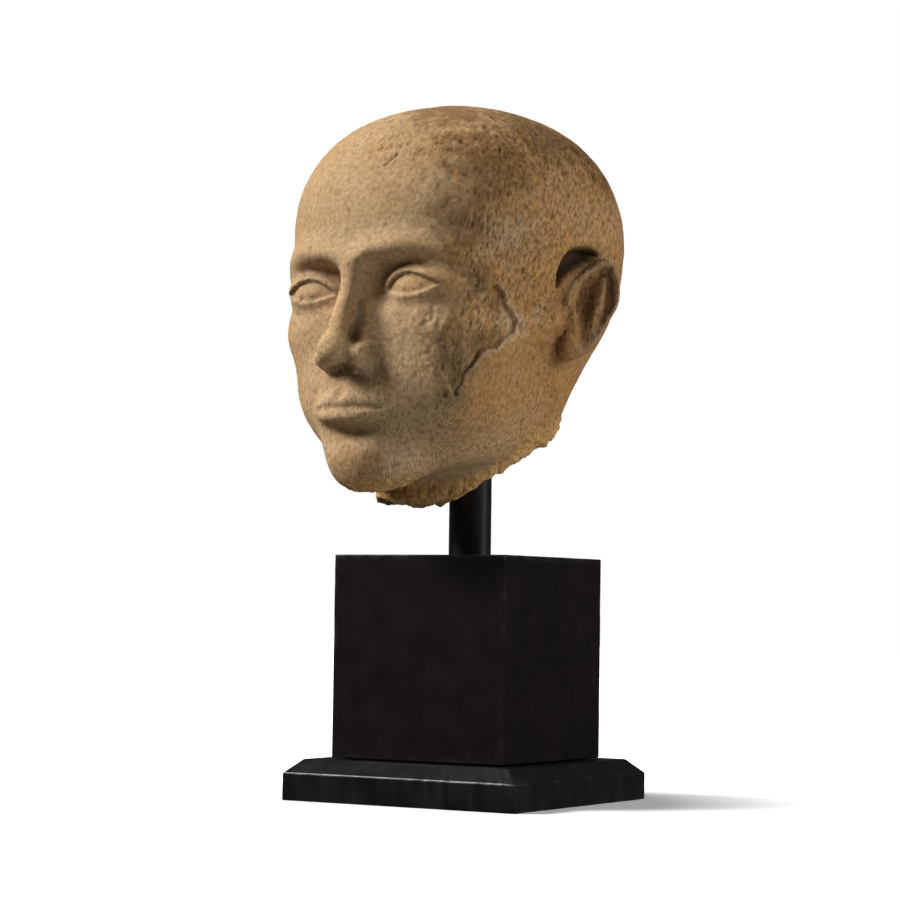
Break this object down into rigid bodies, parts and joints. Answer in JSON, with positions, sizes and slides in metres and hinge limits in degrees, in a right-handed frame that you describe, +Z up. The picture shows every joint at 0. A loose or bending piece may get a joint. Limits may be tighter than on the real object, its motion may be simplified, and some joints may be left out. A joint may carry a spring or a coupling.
{
  "type": "limestone head sculpture on a plinth",
  "caption": "Carved limestone head of a shaven-headed man, broken at the neck, held upright on a black round rod in a square dark wooden plinth.",
  "frame": {"origin": "centre of the plinth's underside", "axes": "+Z up; the plinth's front faces -Y, and the head faces -Y turned 6 degrees towards -X"},
  "size_m": [0.0974, 0.1114, 0.1955],
  "materials": {
    "limestone": "weathered, pitted, matte",
    "blackened_steel": "satin black",
    "ebonised_wood": "satin brown-black",
    "black_gloss_wood": "polished black"
  },
  "bodies": {
    "root": {"limestone_head": "limestone", "mount_rod": "blackened_steel", "plinth_block": "ebonised_wood", "plinth_slab": "black_gloss_wood"}
  },
  "joints": []
}
